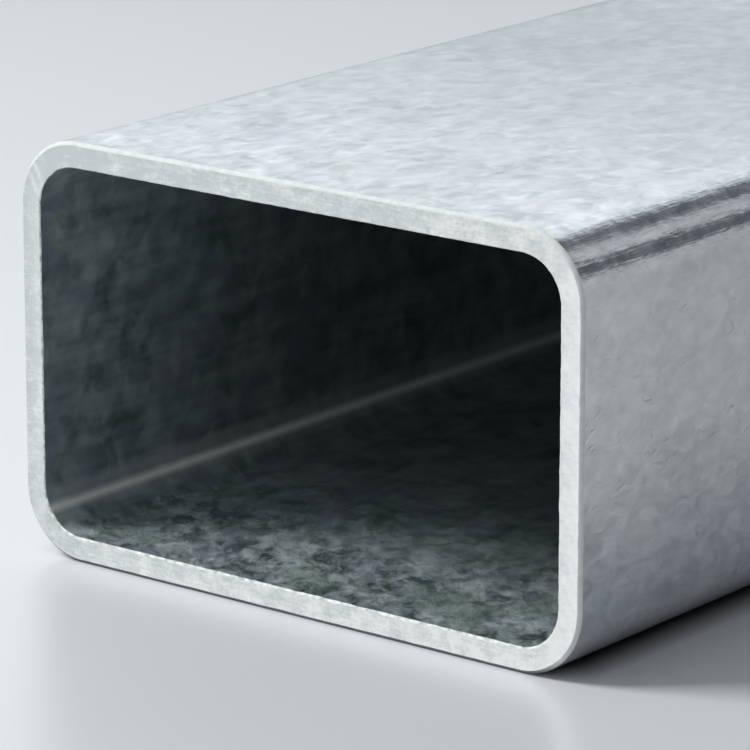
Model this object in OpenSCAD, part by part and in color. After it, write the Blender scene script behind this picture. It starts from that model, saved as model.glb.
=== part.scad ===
// Rectangular hollow section: one cut length of cold-formed galvanised steel tube, lying on a wide side.
// Millimetres, +Z up. X runs across the width and Y along the tube.
// The origin is on the floor, under the middle of the tube.

/* [Section] */
// Outside width of the section, flat to flat
section_width = 80; // [60:1:120]
// Outside height of the section, flat to flat
section_height = 50; // [40:1:80]
// Thickness of the wall, zinc coating included
wall = 3; // [1.5:0.25:4.5]
// Outside radius of the four bends, which share their centres with the inside ones
bend_radius = 8.25; // [6:0.25:12]

/* [Length] */
// Length between the two sawn ends
tube_length = 500; // [250:50:6000]

/* [Sawn ends] */
// Leg of the 45 degree edge break round the outside of each end
outer_edge_break = 0.4; // [0.1:0.05:0.6]
// Leg of the 45 degree edge break round the mouth at each end
mouth_edge_break = 0.2; // [0.1:0.05:0.6]

/* [Hidden] */
$fn = 96;

// The hollow inside the wall
hollow_width = section_width - 2 * wall;
hollow_height = section_height - 2 * wall;
hollow_radius = bend_radius - wall;
// How far the hollow is cut past each end, so that it opens the end cleanly
overrun = 5;

// Half outline of a bar along its length: the reach from the middle, drawn in by taper at both ends.
// A negative taper flares the ends out.
function bar_half(reach, length, taper) = [
    [0, -length / 2],
    [reach - taper, -length / 2],
    [reach, -length / 2 + abs(taper)],
    [reach, length / 2 - abs(taper)],
    [reach - taper, length / 2],
    [0, length / 2]
];

// A flat-sided slab standing along Z, with its tapered ends reaching each way in X and its spread in Y.
module slab(reach, spread, length, taper) {
    rotate([90, 0, 0])
        linear_extrude(2 * spread, center = true)
            for (side = [0, 1])
                mirror([side, 0]) polygon(bar_half(reach, length, taper));
}

// A bar along Y with rounded long edges, whose ends taper at 45 degrees all the way round.
module rounded_bar(width, height, radius, length, taper) {
    flat_x = width / 2 - radius;
    flat_z = height / 2 - radius;
    rotate([-90, 0, 0]) {
        slab(width / 2, flat_z, length, taper);
        rotate(90) slab(height / 2, flat_x, length, taper);
        for (x = [-flat_x, flat_x], z = [-flat_z, flat_z])
            translate([x, z, 0])
                rotate_extrude() polygon(bar_half(radius, length, taper));
    }
}

// The whole tube: a solid bar less its hollow, which flares at each mouth.
module tube() {
    color("silver")
        translate([0, 0, section_height / 2])
            difference() {
                rounded_bar(section_width, section_height, bend_radius, tube_length, outer_edge_break);
                rounded_bar(hollow_width, hollow_height, hollow_radius,
                            tube_length + 2 * overrun, -(mouth_edge_break + overrun));
            }
}

tube();
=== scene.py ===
import math

import bpy
import numpy as np
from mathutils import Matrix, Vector, noise


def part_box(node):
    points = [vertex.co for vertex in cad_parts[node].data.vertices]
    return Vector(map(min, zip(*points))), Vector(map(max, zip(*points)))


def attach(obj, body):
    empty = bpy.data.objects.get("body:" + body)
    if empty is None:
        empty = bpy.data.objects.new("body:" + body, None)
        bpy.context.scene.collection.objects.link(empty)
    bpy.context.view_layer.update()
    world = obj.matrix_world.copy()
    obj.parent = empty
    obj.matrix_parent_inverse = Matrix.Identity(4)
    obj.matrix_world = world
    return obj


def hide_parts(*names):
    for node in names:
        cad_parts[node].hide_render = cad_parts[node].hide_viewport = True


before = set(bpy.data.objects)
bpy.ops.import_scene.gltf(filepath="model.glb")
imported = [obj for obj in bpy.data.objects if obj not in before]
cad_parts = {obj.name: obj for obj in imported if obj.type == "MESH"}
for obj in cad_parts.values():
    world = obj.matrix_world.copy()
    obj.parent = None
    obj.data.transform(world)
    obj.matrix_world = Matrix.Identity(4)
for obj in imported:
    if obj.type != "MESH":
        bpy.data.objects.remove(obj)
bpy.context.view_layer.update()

# Sizes in metres. The outside of the tube comes from the frame.
MM = 0.001
tube_low, tube_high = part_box("tube")
WIDTH, LENGTH, HEIGHT = tube_high - tube_low
FRONT_Y, BACK_Y = tube_low.y, tube_high.y
WALL = 3.0 * MM
OUTER_BEND = 8.25 * MM
INNER_BEND = OUTER_BEND - WALL
OUTER_BREAK = 0.40 * MM
MOUTH_BREAK = 0.20 * MM

# The same sizes in millimetres, for the finishes
SIDE_X = WIDTH / 2 / MM
END_Y = LENGTH / 2 / MM
MIDDLE_Z = HEIGHT / 2 / MM
BEND = OUTER_BEND / MM
FLAT_X = SIDE_X - BEND
FLAT_Z = MIDDLE_Z - BEND

# Camera, as fitted to the photograph
IMAGE_SIDE = 750
SENSOR = 36.0
LENS = 234.96
CAMERA_YAW = math.radians(38.401)
CAMERA_PITCH = math.radians(15.457)
CAMERA_DEPTH = 0.5429
FACE_PIXEL = (290.2, 401.5)


def add_camera():
    """The camera that sees the middle of the near end at its pixel in the photograph."""
    forward = Vector((
        -math.sin(CAMERA_YAW) * math.cos(CAMERA_PITCH),
        math.cos(CAMERA_YAW) * math.cos(CAMERA_PITCH),
        -math.sin(CAMERA_PITCH),
    ))
    right = Vector((math.cos(CAMERA_YAW), math.sin(CAMERA_YAW), 0.0))
    down = forward.cross(right)
    focal = LENS / SENSOR * IMAGE_SIDE
    across = (FACE_PIXEL[0] - IMAGE_SIDE / 2) / focal
    below = (FACE_PIXEL[1] - IMAGE_SIDE / 2) / focal
    face = Vector((0.0, FRONT_Y, HEIGHT / 2))
    data = bpy.data.cameras.new("camera")
    data.lens = LENS
    data.sensor_width = SENSOR
    data.clip_start = 0.01
    data.clip_end = 100.0
    camera = bpy.data.objects.new("camera", data)
    camera.location = face - CAMERA_DEPTH * (forward + across * right + below * down)
    camera.rotation_mode = "QUATERNION"
    camera.rotation_quaternion = forward.to_track_quat("-Z", "Y")
    bpy.context.scene.collection.objects.link(camera)
    bpy.context.scene.camera = camera


# Spacing of the mesh round the section, along the tube and across the sawn ends
STATION_STEP = 0.42 * MM
BEND_STEPS = 30
EDGE_ROOM = 0.8 * MM
FIRST_STEP = 0.5 * MM
STEP_GROWTH = 1.4
WIDEST_STEP = 16 * MM
FACE_ROWS = 12
CRISP = 0.04 * MM

# Fine relief of the sawn ends
MID_BREAK = 0.46
BURR = 0.035 * MM
SAW_DEPTH = 0.012 * MM
SAW_PITCH = 0.9 * MM
SAW_RUN = 14 * MM
SAW_SLANT = (0.5, 0.87)
FRONT_SEED = 7.3
BACK_SEED = 40.5

# Flat map for baking
MAP_GAP = 2 * MM
MAP_ROOM = 20 * MM
END_STRETCH = 3


def stations():
    """Points round the rectangle of bend centres, with their outward normals and places along the wall."""
    flat_x = WIDTH / 2 - OUTER_BEND
    flat_z = HEIGHT / 2 - OUTER_BEND
    corners = [(flat_x, flat_z), (-flat_x, flat_z), (-flat_x, -flat_z), (flat_x, -flat_z)]
    points, normals, places = [], [], []
    place = 0.0
    for side, (x, z) in enumerate(corners):
        start = side * math.pi / 2
        for step in range(BEND_STEPS):
            angle = start + math.pi / 2 * step / BEND_STEPS
            points.append((x, z))
            normals.append((math.cos(angle), math.sin(angle)))
            places.append(place + OUTER_BEND * (angle - start))
        place += OUTER_BEND * math.pi / 2
        next_x, next_z = corners[(side + 1) % 4]
        length = math.hypot(next_x - x, next_z - z)
        count = round(length / STATION_STEP)
        normal = (math.cos(start + math.pi / 2), math.sin(start + math.pi / 2))
        for step in range(count):
            share = step / count
            points.append((x + (next_x - x) * share, z + (next_z - z) * share))
            normals.append(normal)
            places.append(place + length * share)
        place += length
    return np.array(points), np.array(normals), np.array(places), place


POINTS, NORMALS, PLACES, GIRTH = stations()


def ripple(size, seed):
    """Smooth noise from -1 to 1 at each station, in waves of about the given size."""
    wall_x = POINTS[:, 0] + NORMALS[:, 0] * OUTER_BEND
    wall_z = POINTS[:, 1] + NORMALS[:, 1] * OUTER_BEND
    values = [noise.noise(Vector((x / size, z / size, seed))) for x, z in zip(wall_x, wall_z)]
    return np.array(values)


def spaced(start, stop):
    """Places from start to stop, close together at both ends and wide apart in the middle."""
    half = abs(stop - start) / 2
    steps = []
    at = 0.0
    step = FIRST_STEP
    while at < half:
        steps.append(at)
        at += step
        step = min(step * STEP_GROWTH, WIDEST_STEP)
    sign = 1.0 if stop > start else -1.0
    rising = [start + sign * s for s in steps]
    falling = [stop - sign * s for s in reversed(steps)]
    return rising + falling


def row(reach, y, zone):
    """One ring of the mesh: how far each station is from its bend centre line, and where along the tube."""
    count = len(PLACES)
    return np.broadcast_to(reach, count), np.broadcast_to(y, count), zone


def saw_marks(reach, seed):
    """How far the saw cut below the end plane at each station, in shallow slanting lines."""
    x = POINTS[:, 0] + NORMALS[:, 0] * reach
    z = POINTS[:, 1] + NORMALS[:, 1] * reach
    run, rise = SAW_SLANT
    slant = (x * run + z * rise) / SAW_PITCH
    along = (x * rise - z * run) / SAW_RUN
    lines = np.array([noise.noise(Vector((s, a, seed))) for s, a in zip(slant, along)])
    return SAW_DEPTH * (1 + lines)


def end_rows(end_y, inward, order, seed):
    """The rings of one sawn end, from the outside to the mouth, or back if order is negative."""
    # The outer edge break wavers a little and has a few nicks
    nicks = np.clip(ripple(1.7 * MM, seed + 1) - 0.55, 0, 1) * 1.2
    outer_leg = OUTER_BREAK * (1 + 0.10 * ripple(3.1 * MM, seed) + 0.07 * ripple(1.1 * MM, seed + 7) + nicks)
    # The mouth's edge break is uneven, wider along the lower side, and has a burr
    under = 0.35 + 0.65 * np.clip(0.5 - 0.7 * NORMALS[:, 1], 0, 1)
    uneven = 1 + 0.6 * ripple(1.0 * MM, seed + 2) + 0.25 * ripple(3.7 * MM, seed + 3)
    mouth_leg = MOUTH_BREAK * under * uneven
    burr = BURR * np.clip(0.4 + ripple(0.9 * MM, seed + 4) + 0.5 * ripple(5.0 * MM, seed + 5), 0, 1.4)
    rows = [
        row(OUTER_BEND, end_y + inward * (outer_leg + CRISP), "outside"),
        row(OUTER_BEND, end_y + inward * outer_leg, "rim"),
        row(OUTER_BEND - outer_leg * MID_BREAK, end_y + inward * outer_leg * MID_BREAK, "rim"),
        row(OUTER_BEND - outer_leg, end_y, "rim"),
    ]
    outer_reach = OUTER_BEND - outer_leg - CRISP
    mouth_reach = INNER_BEND + mouth_leg + CRISP
    for share in np.linspace(0, 1, FACE_ROWS):
        reach = outer_reach * (1 - share) + mouth_reach * share
        cut = saw_marks(reach, seed + 6) * (0.0 if share in (0.0, 1.0) else 1.0)
        rows.append(row(reach, end_y + inward * cut, "end"))
    rows += [
        row(INNER_BEND + mouth_leg, end_y, "lip"),
        row(INNER_BEND + (mouth_leg - burr) * MID_BREAK, end_y + inward * mouth_leg * MID_BREAK, "lip"),
        row(INNER_BEND - burr, end_y + inward * mouth_leg, "lip"),
        row(INNER_BEND - burr, end_y + inward * (mouth_leg + CRISP), "inside"),
    ]
    return rows[::order]


def wall_rows():
    """All the rings, once round the wall: out along the outside and back along the inside."""
    first = FRONT_Y + EDGE_ROOM
    last = BACK_Y - EDGE_ROOM
    rows = [row(OUTER_BEND, y, "outside") for y in spaced(first, last)]
    rows += end_rows(BACK_Y, inward=-1.0, order=1, seed=BACK_SEED)
    rows += [row(INNER_BEND, y, "inside") for y in spaced(last, first)]
    rows += end_rows(FRONT_Y, inward=1.0, order=-1, seed=FRONT_SEED)
    return rows


def face_zone(first, second):
    """The zone of the faces between two rings."""
    order = ["rim", "lip", "outside", "inside", "end"]
    return max(first, second, key=order.index)


def island(zone):
    """The part of the flat map that a zone lies in."""
    return zone if zone in ("outside", "inside") else "end"


def lay_out(mesh, zones, profile, count):
    """A flat map of the outside, the inside and the two ends at one scale, the ends stretched across."""
    corner_row = np.array([0, 1, 1, 0])
    corner_col = np.array([0, 0, 1, 1])
    along = np.append(PLACES, GIRTH)
    turn = along[np.arange(count)[:, None] + corner_col[None, :]]
    coords = np.empty((len(zones), count, 4, 2))
    ends_done = 0
    index = 0
    while index < len(zones):
        kind = island(zones[index])
        stop = index
        while stop < len(zones) and island(zones[stop]) == kind:
            stop += 1
        for number in range(index, stop):
            across = profile[number + corner_row] - profile[index]
            if kind == "end":
                coords[number, :, :, 0] = 2 * GIRTH + 3 * MAP_GAP + across * END_STRETCH
                coords[number, :, :, 1] = MAP_GAP + turn + ends_done * (GIRTH + MAP_GAP)
            else:
                shift = MAP_GAP if kind == "outside" else GIRTH + 2 * MAP_GAP
                coords[number, :, :, 0] = shift + turn
                coords[number, :, :, 1] = MAP_GAP + across
        ends_done += kind == "end"
        index = stop
    side = 2 * GIRTH + MAP_ROOM
    layer = mesh.uv_layers.new(name="OFBake")
    layer.data.foreach_set("uv", (coords / side).astype(np.float32).ravel())


def tube_mesh():
    """A closed grid that runs round the section and round the wall."""
    rows = wall_rows()
    count = len(PLACES)
    total = len(rows)
    verts = np.empty((total, count, 3))
    for index, (reach, y, _) in enumerate(rows):
        verts[index, :, 0] = POINTS[:, 0] + NORMALS[:, 0] * reach
        verts[index, :, 1] = y
        verts[index, :, 2] = POINTS[:, 1] + NORMALS[:, 1] * reach + HEIGHT / 2
    ring = np.arange(total)[:, None]
    col = np.arange(count)[None, :]
    next_ring = (ring + 1) % total
    next_col = (col + 1) % count
    quads = np.stack([
        ring * count + col,
        next_ring * count + col,
        next_ring * count + next_col,
        ring * count + next_col,
    ], axis=-1).reshape(-1, 4)
    zones = [face_zone(rows[i][2], rows[(i + 1) % total][2]) for i in range(total)]
    slots = {"outside": 0, "inside": 1, "end": 2, "rim": 3, "lip": 4}
    means = np.array([(reach.mean(), y.mean()) for reach, y, _ in rows + rows[:1]])
    profile = np.append(0.0, np.cumsum(np.hypot(*np.diff(means, axis=0).T)))
    mesh = bpy.data.meshes.new("tube_body")
    mesh.from_pydata(verts.reshape(-1, 3).tolist(), [], quads.tolist())
    mesh.polygons.foreach_set("material_index", np.repeat([slots[z] for z in zones], count).astype(np.int32))
    mesh.polygons.foreach_set("use_smooth", np.ones(len(quads), bool))
    lay_out(mesh, zones, profile, count)
    mesh.update()
    return mesh


class Graph:
    """Short calls that add and link shader nodes."""

    def __init__(self, tree):
        self.tree = tree

    def add(self, kind, settings=None, **inputs):
        """A new node, with its settings and inputs."""
        node = self.tree.nodes.new("ShaderNode" + kind)
        for key, value in (settings or {}).items():
            setattr(node, key, value)
        for key, value in inputs.items():
            self.feed(node.inputs[key], value)
        return node

    def feed(self, socket, value):
        """Link another node's output to a socket, or give it a plain value."""
        if isinstance(value, bpy.types.NodeSocket):
            self.tree.links.new(value, socket)
        else:
            socket.default_value = value

    def math(self, operation, a, b=0.0):
        """The result of an operation on one or two values."""
        node = self.add("Math", {"operation": operation})
        self.feed(node.inputs[0], a)
        self.feed(node.inputs[1], b)
        return node.outputs[0]

    def times(self, first, *others):
        """The product of values."""
        value = first
        for other in others:
            value = self.math("MULTIPLY", value, other)
        return value

    def total(self, *parts):
        """The sum of values, each times its weight."""
        value = 0.0
        for part, weight in parts:
            value = self.math("ADD", value, self.math("MULTIPLY", part, weight))
        return value

    def place(self, scale, turn=0.0):
        """Object coordinates in millimetres, turned about Z, over the pattern's size along each axis."""
        source = self.add("TexCoord").outputs["Object"]
        if turn:
            turned = self.add("VectorRotate", {"rotation_type": "Z_AXIS"}, Vector=source, Angle=turn)
            source = turned.outputs[0]
        node = self.add("VectorMath", {"operation": "MULTIPLY"})
        self.feed(node.inputs[0], source)
        node.inputs[1].default_value = [1.0 / (MM * s) for s in scale]
        return node.outputs[0]

    def where(self):
        """The X, Y and Z of a point in millimetres."""
        return self.add("SeparateXYZ", Vector=self.place((1.0, 1.0, 1.0))).outputs

    def noise(self, size, detail, roughness, distortion, offset=0.0, turn=0.0):
        """Smooth noise from 0 to 1, in blotches of about the given size in millimetres."""
        scale = size if isinstance(size, tuple) else (size, size, size)
        node = self.add("TexNoise", {"noise_dimensions": "4D"}, Vector=self.place(scale, turn), W=offset,
                        Scale=1.0, Detail=detail, Roughness=roughness, Distortion=distortion)
        return node.outputs["Fac"]

    def span(self, value, low, high, out_low=0.0, out_high=1.0, kind="LINEAR"):
        """The stretch from low to high, mapped to another stretch and held at its ends."""
        node = self.add("MapRange", {"clamp": True, "interpolation_type": kind})
        self.feed(node.inputs["Value"], value)
        node.inputs["From Min"].default_value = low
        node.inputs["From Max"].default_value = high
        node.inputs["To Min"].default_value = out_low
        node.inputs["To Max"].default_value = out_high
        return node.outputs["Result"]

    def band(self, value, low, high, soft):
        """1 between low and high, 0 outside, with soft edges."""
        rise = self.span(value, low - soft, low + soft)
        fall = self.span(value, high - soft, high + soft, 1.0, 0.0)
        return self.times(rise, fall)

    def sector(self, angle, low, high, soft):
        """A band of an angle, with its edges in degrees."""
        return self.band(angle, math.radians(low), math.radians(high), math.radians(soft))

    def blend(self, share, a, b):
        """A mix of two values."""
        node = self.add("Mix", {"data_type": "FLOAT"})
        self.feed(node.inputs[0], share)
        self.feed(node.inputs[2], a)
        self.feed(node.inputs[3], b)
        return node.outputs[0]

    def mix(self, share, a, b):
        """A mix of two colours, each an output or a red, green and blue."""
        node = self.add("Mix", {"data_type": "RGBA"})
        self.feed(node.inputs[0], share)
        for socket, colour in ((node.inputs[6], a), (node.inputs[7], b)):
            self.feed(socket, (*colour, 1.0) if isinstance(colour, tuple) else colour)
        return node.outputs[2]

    def dress(self, shader, colour, metallic, roughness, relief, depth):
        """Feed a finish into the shader, with its relief as bump of the given depth."""
        bump = self.add("Bump", Height=relief, Distance=depth, Strength=1.0)
        self.feed(shader.inputs["Base Color"], colour)
        self.feed(shader.inputs["Metallic"], metallic)
        self.feed(shader.inputs["Roughness"], roughness)
        self.feed(shader.inputs["Normal"], bump.outputs["Normal"])


def new_material(name):
    """A material, its graph and its shader."""
    material = bpy.data.materials.new(name)
    material.use_nodes = True
    tree = material.node_tree
    return material, Graph(tree), tree.nodes["Principled BSDF"]


# Colours of the finishes, as red, green and blue. A pair is the darkest and the palest.
WHITE = (1.0, 1.0, 1.0)
BRIGHT_ZINC = ((0.44, 0.47, 0.50), (0.84, 0.86, 0.88))
# The darker zinc below is painted shade away from the ends
SHADED_ZINC = ((0.33, 0.37, 0.39), (0.52, 0.56, 0.58))
LILAC_ZINC = (0.68, 0.67, 0.78)
GREEN_ZINC = (0.68, 0.74, 0.71)
# Painted reflection on the sides: paler above, darker below
SIDE_PAINTED_SHEEN = (0.97, 0.94, 0.91)
SIDE_PAINTED_SHADE = (0.34, 0.40, 0.46)
PIT = (0.24, 0.26, 0.28)
INSIDE_ZINC = ((0.075, 0.11, 0.108), (0.50, 0.57, 0.58))
INSIDE_LILAC = (0.26, 0.29, 0.37)
INSIDE_GREEN = (0.24, 0.33, 0.29)
INSIDE_SPECK = (0.80, 0.84, 0.82)
# Painted shade some way into the tube, and painted light deep inside
INSIDE_PAINTED_SHADE = (0.07, 0.105, 0.10)
INSIDE_PAINTED_LIGHT = (0.50, 0.56, 0.54)
PAINTED_STREAK_WHITE = (0.94, 0.97, 0.95)
SAWN = ((0.60, 0.635, 0.63), (0.89, 0.90, 0.885))
# Painted shade for the lower left corner of the cut face
SAWN_LOW_LEFT_SHADE = (0.45, 0.48, 0.48)
SAW_SLASH = (0.40, 0.42, 0.42)
SAW_SCRATCH = (0.40, 0.43, 0.42)
EDGE_TINT = (1.0, 1.03, 1.02)
EDGE_SHADE = (0.10, 0.11, 0.12)

# Depth of the bump of each finish
OUTSIDE_RELIEF = 0.08 * MM
INSIDE_RELIEF = 0.32 * MM
SAWN_RELIEF = 0.03 * MM
RIM_RELIEF = 0.01 * MM
LIP_RELIEF = 0.06 * MM


def zinc_outside():
    """Galvanised outside: mottled zinc, with painted shade away from the sawn ends and a painted reflection
    on the sides, burnished by the rolls at the bends.
    """
    material, g, shader = new_material("zinc_outside")
    at = g.where()
    from_end = g.math("SUBTRACT", END_Y, g.math("ABSOLUTE", at["Y"]))
    out_x = g.math("ABSOLUTE", at["X"])
    out_z = g.math("ABSOLUTE", g.math("SUBTRACT", at["Z"], MIDDLE_Z))
    bend = g.times(g.span(out_x, FLAT_X - 3, FLAT_X + 4, kind="SMOOTHSTEP"),
                   g.span(out_z, FLAT_Z - 3, FLAT_Z + 4, kind="SMOOTHSTEP"))
    side = g.span(out_x, SIDE_X - 3, SIDE_X, kind="SMOOTHSTEP")
    cloud = g.noise(24.0, 3.0, 0.5, 0.4)
    drift = g.noise((6.0, 7.0, 6.0), 2.0, 0.5, 0.8, 2.0)
    mottle = g.noise((2.2, 3.0, 2.0), 2.0, 0.5, 0.9, 3.0)
    fleck = g.noise((1.1, 1.7, 1.0), 2.0, 0.5, 0.6, 5.0)
    patch = g.noise(7.0, 2.0, 0.5, 0.5, 9.0)
    green = g.noise(9.0, 2.0, 0.5, 0.5, 33.0)
    drawn = g.noise((0.6, 9.0, 0.6), 3.0, 0.6, 0.3, 27.0)
    # The zinc is darker and less mottled away from the ends, as painted shade for light that falls off along
    # the tube
    painted_shade = g.times(g.span(g.total((from_end, 1.0), (cloud, 30.0)), 22.0, 92.0), 0.88)
    lively = g.times(g.span(painted_shade, 0.0, 0.5, 1.0, 0.8), g.span(side, 0.0, 1.0, 1.0, 0.9))
    tone = g.total((cloud, 0.22), (drift, 0.24), (mottle, 0.44), (fleck, 0.10))
    tone = g.math("ADD", g.times(g.math("SUBTRACT", tone, 0.5), lively), 0.5)
    tone = g.span(tone, 0.39, 0.61)
    colour = g.mix(tone, *BRIGHT_ZINC)
    lilac = g.times(g.span(patch, 0.48, 0.68, 0.0, 0.45), g.span(side, 0.0, 1.0, 1.0, 0.3))
    colour = g.mix(lilac, colour, LILAC_ZINC)
    colour = g.mix(g.span(green, 0.50, 0.68, 0.0, 0.35), colour, GREEN_ZINC)
    colour = g.mix(painted_shade, colour, g.mix(tone, *SHADED_ZINC))
    # The sides are painted paler above and darker below, a painted reflection of the lit floor further off
    # and of the shadowed floor close by
    colour = g.mix(g.times(side, g.span(at["Z"], 9.0, 26.0, 0.08, 0.44)), colour, SIDE_PAINTED_SHEEN)
    colour = g.mix(g.times(side, g.span(at["Z"], 6.0, 22.0, 0.36, 0.0)), colour, SIDE_PAINTED_SHADE)
    pit = g.times(g.span(g.noise(1.6, 1.0, 0.4, 0.2, 37.0), 0.74, 0.80), 0.5)
    colour = g.mix(pit, colour, PIT)
    # The rolls leave the bends smoother, and polish the upper ones
    rough = g.blend(bend, g.span(mottle, 0.3, 0.7, 0.30, 0.42), 0.29)
    top_bend = g.times(g.span(out_x, 33.6, 35.6), g.span(at["Z"], 43.6, 45.4))
    rough = g.blend(top_bend, rough, g.span(fleck, 0.3, 0.7, 0.15, 0.22))
    level = [g.math("SUBTRACT", value, 0.5) for value in (drift, mottle, fleck, drawn)]
    flat_relief = g.times(g.total(*zip(level, (0.5, 1.0, 0.25, 0.05))), lively)
    dent = g.span(g.noise((1.8, 2.6, 1.4), 2.0, 0.5, 0.7, 51.0), 0.58, 0.74)
    dent = g.times(dent, side, g.span(at["Z"], 16.0, 24.0))
    flat_relief = g.total((flat_relief, 1.0), (dent, -0.8))
    bend_relief = g.total(*zip(level, (0.3, 0.45, 0.45, 0.42)))
    relief = g.blend(bend, flat_relief, bend_relief)
    g.dress(shader, colour, metallic=0.8, roughness=rough, relief=relief, depth=OUTSIDE_RELIEF)
    return material


def zinc_inside():
    """Darker, grainy zinc inside, with a pale strip painted along the lower left bend as a painted highlight.
    """
    material, g, shader = new_material("zinc_inside")
    at = g.where()
    from_end = g.math("SUBTRACT", END_Y, g.math("ABSOLUTE", at["Y"]))
    # Painted highlight: a pale, less metallic strip along the lower left bend
    round_bend = g.math("ARCTAN2", g.math("SUBTRACT", BEND, at["Z"]), g.math("SUBTRACT", -FLAT_X, at["X"]))
    core = g.sector(round_bend, 26, 34.5, 5)
    halo = g.sector(round_bend, 4, 46, 6)
    run = g.total((core, 0.82), (halo, 0.18))
    low = g.span(at["Z"], 3.1, 4.0, 1.0, 0.0)
    near = g.times(low, g.span(from_end, 10.0, 38.0, 1.0, 0.12))
    mottle = g.noise(4.5, 4.0, 0.55, 0.7, 11.0)
    drawn = g.noise((1.6, 22.0, 1.6), 3.0, 0.5, 0.2, 31.0)
    patch = g.noise(6.0, 2.0, 0.5, 0.4, 15.0)
    green = g.noise(7.0, 2.0, 0.5, 0.4, 61.0)
    crumb = g.noise((2.0, 2.9, 2.0), 3.0, 0.60, 0.35, 13.0, -CAMERA_YAW)
    speck = g.noise((1.3, 1.6, 1.3), 2.0, 0.5, 0.6, 41.0, -CAMERA_YAW)
    # The lower wall is grainy near the mouth, and the other walls are drawn out along the tube
    walls = g.span(g.total((mottle, 0.7), (drawn, 0.3)), 0.36, 0.64, 0.1, 0.9)
    walls = g.total((walls, 1.0), (g.span(at["Z"], 25.0, 47.0), 0.3))
    ground = g.span(g.total((mottle, 0.35), (crumb, 0.65)), 0.42, 0.60)
    colour = g.mix(g.blend(near, walls, ground), *INSIDE_ZINC)
    colour = g.mix(g.span(patch, 0.50, 0.66, 0.0, 0.55), colour, INSIDE_LILAC)
    colour = g.mix(g.times(g.span(green, 0.50, 0.64, 0.0, 0.5), near), colour, INSIDE_GREEN)
    colour = g.mix(g.times(g.span(speck, 0.60, 0.76, 0.0, 0.55), near), colour, INSIDE_SPECK)
    # The zinc is painted darker some way in as painted shade, and paler again deep inside as painted light
    # that stands in for light from the far end
    painted_dim = g.times(g.span(from_end, 12.0, 45.0, 0.0, 0.5), g.span(from_end, 60.0, 110.0, 1.0, 0.0))
    colour = g.mix(painted_dim, colour, INSIDE_PAINTED_SHADE)
    colour = g.mix(g.span(from_end, 70.0, 150.0, 0.0, 0.8), colour, INSIDE_PAINTED_LIGHT)
    # The painted highlight is dimmed by the painted shade some way in
    run = g.times(run, g.math("SUBTRACT", 1.0, g.times(painted_dim, 0.5)))
    colour = g.mix(run, colour, PAINTED_STREAK_WHITE)
    metallic = g.math("SUBTRACT", 0.5, g.times(run, 0.45))
    rough = g.span(crumb, 0.3, 0.7, 0.38, 0.54)
    level = [g.math("SUBTRACT", value, 0.5) for value in (mottle, drawn, crumb)]
    relief = g.blend(near, g.total((level[0], 0.22), (level[1], 0.22)), g.times(level[2], 1.5))
    g.dress(shader, colour, metallic=metallic, roughness=rough, relief=relief, depth=INSIDE_RELIEF)
    return material


def sawn_steel():
    """Pale sawn steel, paler towards the lower right, with painted light on the walls and painted shade at
    the lower left corner.
    """
    material, g, shader = new_material("sawn_steel")
    at = g.where()
    grain = g.noise(0.5, 3.0, 0.6, 0.0, 17.0)
    cloud = g.noise(2.6, 3.0, 0.55, 0.4, 19.0)
    slant = g.noise((2.2, 40.0, 0.35), 3.0, 0.6, 0.3, 21.0)
    # Paler towards the lower right
    to_lower_right = g.math("SUBTRACT", at["X"], at["Z"])
    tone = g.total((cloud, 1.4), (grain, 1.0), (slant, 1.0), (to_lower_right, 0.0048))
    colour = g.mix(g.span(tone, 1.30, 1.95), *SAWN)
    # The right wall is painted paler in two steps and the left wall's inner half in one, as painted light,
    # and the lower left corner is darker as painted shade
    left_wall_light = g.band(at["X"], -38.2, -37.0, 0.8)
    right_wall_light = g.math("ADD", g.span(at["X"], 33.0, 37.2, 0.0, 0.26), g.span(at["X"], 37.2, 39.6, 0.0, 0.30))
    colour = g.mix(g.total((right_wall_light, 1.0), (left_wall_light, 0.25)), colour, WHITE)
    low_left_shade = g.times(g.span(at["X"], -36.0, -30.0, 0.2, 0.0), g.span(at["Z"], 4.0, 14.0, 1.0, 0.0))
    colour = g.mix(low_left_shade, colour, SAWN_LOW_LEFT_SHADE)
    # Slanting marks at the upper left corner, and weaker ones on the right wall
    marked = g.times(g.band(at["X"], -38.6, -36.6, 0.9), g.span(at["Z"], 42.0, 45.0))
    marked = g.math("ADD", marked, g.span(at["X"], 36.8, 37.6, 0.0, 0.25))
    slash = g.math("SINE", g.total((at["X"], 3.2), (at["Z"], 2.6), (cloud, 9.0)))
    colour = g.mix(g.times(marked, g.span(slash, 0.3, 0.9, 0.0, 0.22)), colour, SAW_SLASH)
    colour = g.mix(g.times(marked, g.span(slash, -0.9, -0.4, 0.35, 0.0)), colour, WHITE)
    scratch = g.times(g.span(g.noise((0.5, 8.0, 0.9), 2.0, 0.5, 0.8, 43.0), 0.70, 0.80), 0.3)
    colour = g.mix(scratch, colour, SAW_SCRATCH)
    rough = g.span(grain, 0.3, 0.7, 0.48, 0.62)
    relief = g.total((grain, 0.5), (slant, 0.5))
    g.dress(shader, colour, metallic=0.25, roughness=rough, relief=relief, depth=SAWN_RELIEF)
    return material


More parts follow.
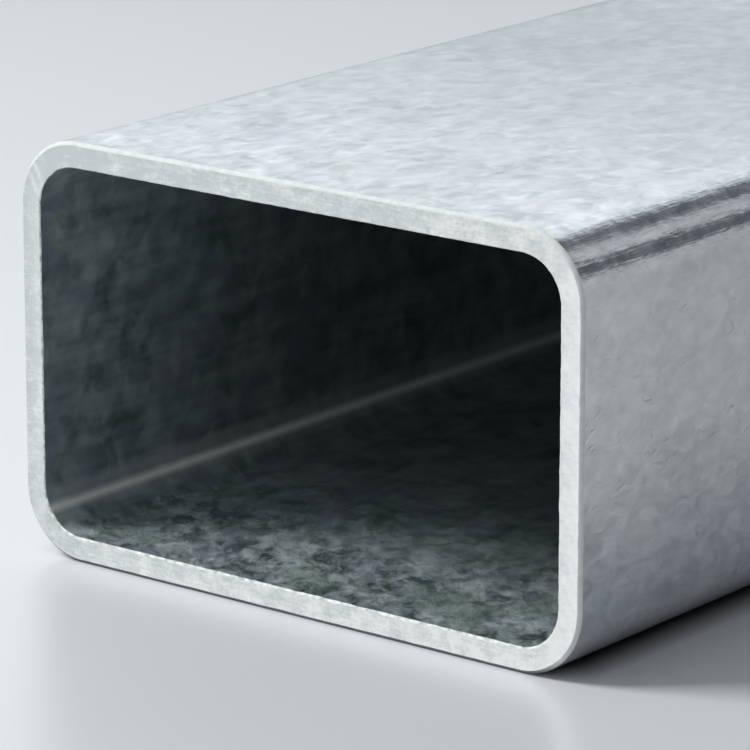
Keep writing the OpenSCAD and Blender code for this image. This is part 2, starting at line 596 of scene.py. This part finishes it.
def worn_edge(name, dark, pale, right, depth):
    """Bare metal where an edge of the cut was broken, in beads between two greys, with painted shade on the
    right and a painted shadow along the bottom.
    """
    material, g, shader = new_material(name)
    at = g.where()
    bead = g.noise(1.0, 2.0, 0.5, 0.3, 47.0)
    greys = [tuple(level * part for part in EDGE_TINT) for level in (dark, pale)]
    colour = g.mix(g.span(bead, 0.36, 0.62), *greys)
    # Painted shade: darker on the right, and a painted shadow of the gap under the bottom edge
    painted_shade = g.math("MAXIMUM", g.span(at["X"], 35.5, 39.0, 0.0, right), g.span(at["Z"], 0.6, 2.4, 0.85, 0.0))
    colour = g.mix(painted_shade, colour, EDGE_SHADE)
    rough = g.span(bead, 0.3, 0.7, 0.60, 0.70)
    g.dress(shader, colour, metallic=0.1, roughness=rough, relief=bead, depth=depth)
    return material


def add_tube():
    """The tube with its five finishes, in the order of the mesh's slots."""
    mesh = tube_mesh()
    rim = worn_edge("worn_rim", dark=0.66, pale=0.74, right=0.1, depth=RIM_RELIEF)
    lip = worn_edge("worn_lip", dark=0.50, pale=0.92, right=0.0, depth=LIP_RELIEF)
    for material in (zinc_outside(), zinc_inside(), sawn_steel(), rim, lip):
        mesh.materials.append(material)
    tube = bpy.data.objects.new("tube_body", mesh)
    bpy.context.scene.collection.objects.link(tube)
    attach(tube, "root")
    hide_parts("tube")


# Floor, with its colours
FLOOR_SIDE = 40.0
FLOOR_IOR = 2.0
FLOOR = ((0.695, 0.718, 0.738), (0.720, 0.743, 0.763))
FLOOR_FAR_SHADE = (0.55, 0.58, 0.605)
FLOOR_RIGHT_SHADE = (0.60, 0.625, 0.645)
FLOOR_PAINTED_SHADOW = (0.02, 0.02, 0.025)

# Lamps, with sizes and distances in metres and powers in watts
KEY_ELEVATION = math.radians(47)
KEY_DISTANCE = 0.9
KEY_SIZE = 0.28
KEY_POWER = 6.9
FILL_FROM = (0.62, -0.60, 0.50)
FILL_DISTANCE = 0.9
FILL_SIZE = 0.34
FILL_POWER = 0.25
AIM_DEPTH = 0.05

# Surroundings: their strength as light, their strength in view and their colours
AMBIENT = 0.24
FRONT_AMBIENT = AMBIENT * 2.7
BACKGROUND = 1.0
LOW_ROOM = (0.60, 0.63, 0.67)
HIGH_ROOM = (1.20, 1.24, 1.28)
DARK_STRIP = (0.045, 0.055, 0.075)
BLACK = (0.0, 0.0, 0.0)


def add_floor():
    """A wide, pale, slightly glossy floor, with painted shade far off and on the right, and a painted contact
    shadow under the tube.
    """
    half = FLOOR_SIDE / 2
    corners = [(-half, -half, 0), (half, -half, 0), (half, half, 0), (-half, half, 0)]
    mesh = bpy.data.meshes.new("floor")
    mesh.from_pydata(corners, [], [(0, 1, 2, 3)])
    material, g, shader = new_material("pale_floor")
    at = g.where()
    out_x = g.math("ABSOLUTE", at["X"])
    out_y = g.math("ABSOLUTE", at["Y"])
    cloud = g.noise(60.0, 2.0, 0.5, 0.0, 23.0)
    colour = g.mix(cloud, *FLOOR)
    # Painted shade: the floor darker far off and on the right, where the lamp's light falls off
    colour = g.mix(g.span(at["Y"], -220.0, 60.0, 0.0, 0.8), colour, FLOOR_FAR_SHADE)
    colour = g.mix(g.span(at["X"], 45.0, 100.0, 0.0, 0.5), colour, FLOOR_RIGHT_SHADE)
    # Painted contact shadow: the floor nearly black under the tube
    under = g.times(g.span(out_x, SIDE_X - 5.5, SIDE_X, 0.95, 0.0), g.span(out_y, END_Y - 6, END_Y, 1.0, 0.0))
    colour = g.mix(under, colour, FLOOR_PAINTED_SHADOW)
    g.feed(shader.inputs["Base Color"], colour)
    g.feed(shader.inputs["Roughness"], g.span(cloud, 0.3, 0.7, 0.29, 0.31))
    g.feed(shader.inputs["IOR"], FLOOR_IOR)
    mesh.materials.append(material)
    floor = bpy.data.objects.new("floor", mesh)
    bpy.context.scene.collection.objects.link(floor)


def add_lamp(name, direction, distance, size, power):
    """A square soft lamp that shines on the near end from a direction and doesn't show in reflections."""
    aim = Vector((0.0, FRONT_Y + AIM_DEPTH, HEIGHT / 2))
    towards = Vector(direction).normalized()
    data = bpy.data.lights.new(name, "AREA")
    data.shape = "SQUARE"
    data.size = size
    data.energy = power
    lamp = bpy.data.objects.new(name, data)
    lamp.location = aim + towards * distance
    lamp.rotation_mode = "QUATERNION"
    lamp.rotation_quaternion = (-towards).to_track_quat("-Z", "Y")
    lamp.visible_glossy = False
    bpy.context.scene.collection.objects.link(lamp)


def add_lamps():
    """A strong key lamp from the left of the picture and a weak fill from above the camera."""
    level = math.cos(KEY_ELEVATION)
    key_from = (-math.cos(CAMERA_YAW) * level, -math.sin(CAMERA_YAW) * level, math.sin(KEY_ELEVATION))
    add_lamp("key", key_from, KEY_DISTANCE, KEY_SIZE, KEY_POWER)
    add_lamp("fill", FILL_FROM, FILL_DISTANCE, FILL_SIZE, FILL_POWER)


def add_world():
    """A pale room with dark strips along the tube, seen in reflections, that lights matt surfaces weakly."""
    world = bpy.data.worlds.new("studio")
    world.use_nodes = True
    world.cycles.sampling_method = "NONE"
    tree = world.node_tree
    g = Graph(tree)
    aim = g.add("SeparateXYZ", Vector=g.add("TexCoord").outputs["Generated"]).outputs
    # What shows in reflections: a room paler above, with a darker right side and two dark strips behind
    roll = g.math("ARCTAN2", aim["X"], aim["Z"])
    behind = g.span(aim["Y"], 0.30, 0.50)
    near_strip = g.sector(roll, -8, 21, 7)
    side_strip = g.sector(roll, 42, 66, 4)
    between = g.sector(roll, 22, 44, 4)
    right_side = g.span(roll, math.radians(66), math.radians(84), 0.30, 0.20)
    right_side = g.times(right_side, g.span(roll, math.radians(5), math.radians(25)))
    right_side = g.times(g.total((right_side, 1.0), (between, 0.18)), behind)
    strips = g.times(g.math("MAXIMUM", near_strip, side_strip), behind)
    room = g.mix(g.span(aim["Z"], 0.15, 0.33), LOW_ROOM, HIGH_ROOM)
    room = g.mix(right_side, room, BLACK)
    room = g.mix(strips, room, DARK_STRIP)
    # What lights matt surfaces: stronger from in front and weak from the low right
    low_right = g.times(g.span(aim["X"], 0.0, 0.4), g.span(aim["Z"], 0.45, 0.85, 1.0, 0.0))
    low_right = g.times(low_right, g.span(aim["Y"], -0.75, -0.45))
    ambient = g.span(aim["Y"], -0.75, -0.25, FRONT_AMBIENT, AMBIENT)
    ambient = g.times(ambient, g.span(low_right, 0.0, 1.0, 1.0, 0.04))
    path = g.add("LightPath").outputs
    seen = g.math("MAXIMUM", path["Is Camera Ray"], path["Is Glossy Ray"])
    seen = g.math("MAXIMUM", seen, path["Is Transmission Ray"])
    seen = g.times(seen, g.math("LESS_THAN", path["Diffuse Depth"], 0.5))
    background = tree.nodes["Background"].inputs
    g.feed(background["Color"], room)
    g.feed(background["Strength"], g.blend(seen, ambient, BACKGROUND))
    bpy.context.scene.world = world


add_camera()
add_tube()
add_floor()
add_lamps()
add_world()
bpy.context.scene.view_settings.view_transform = "Standard"
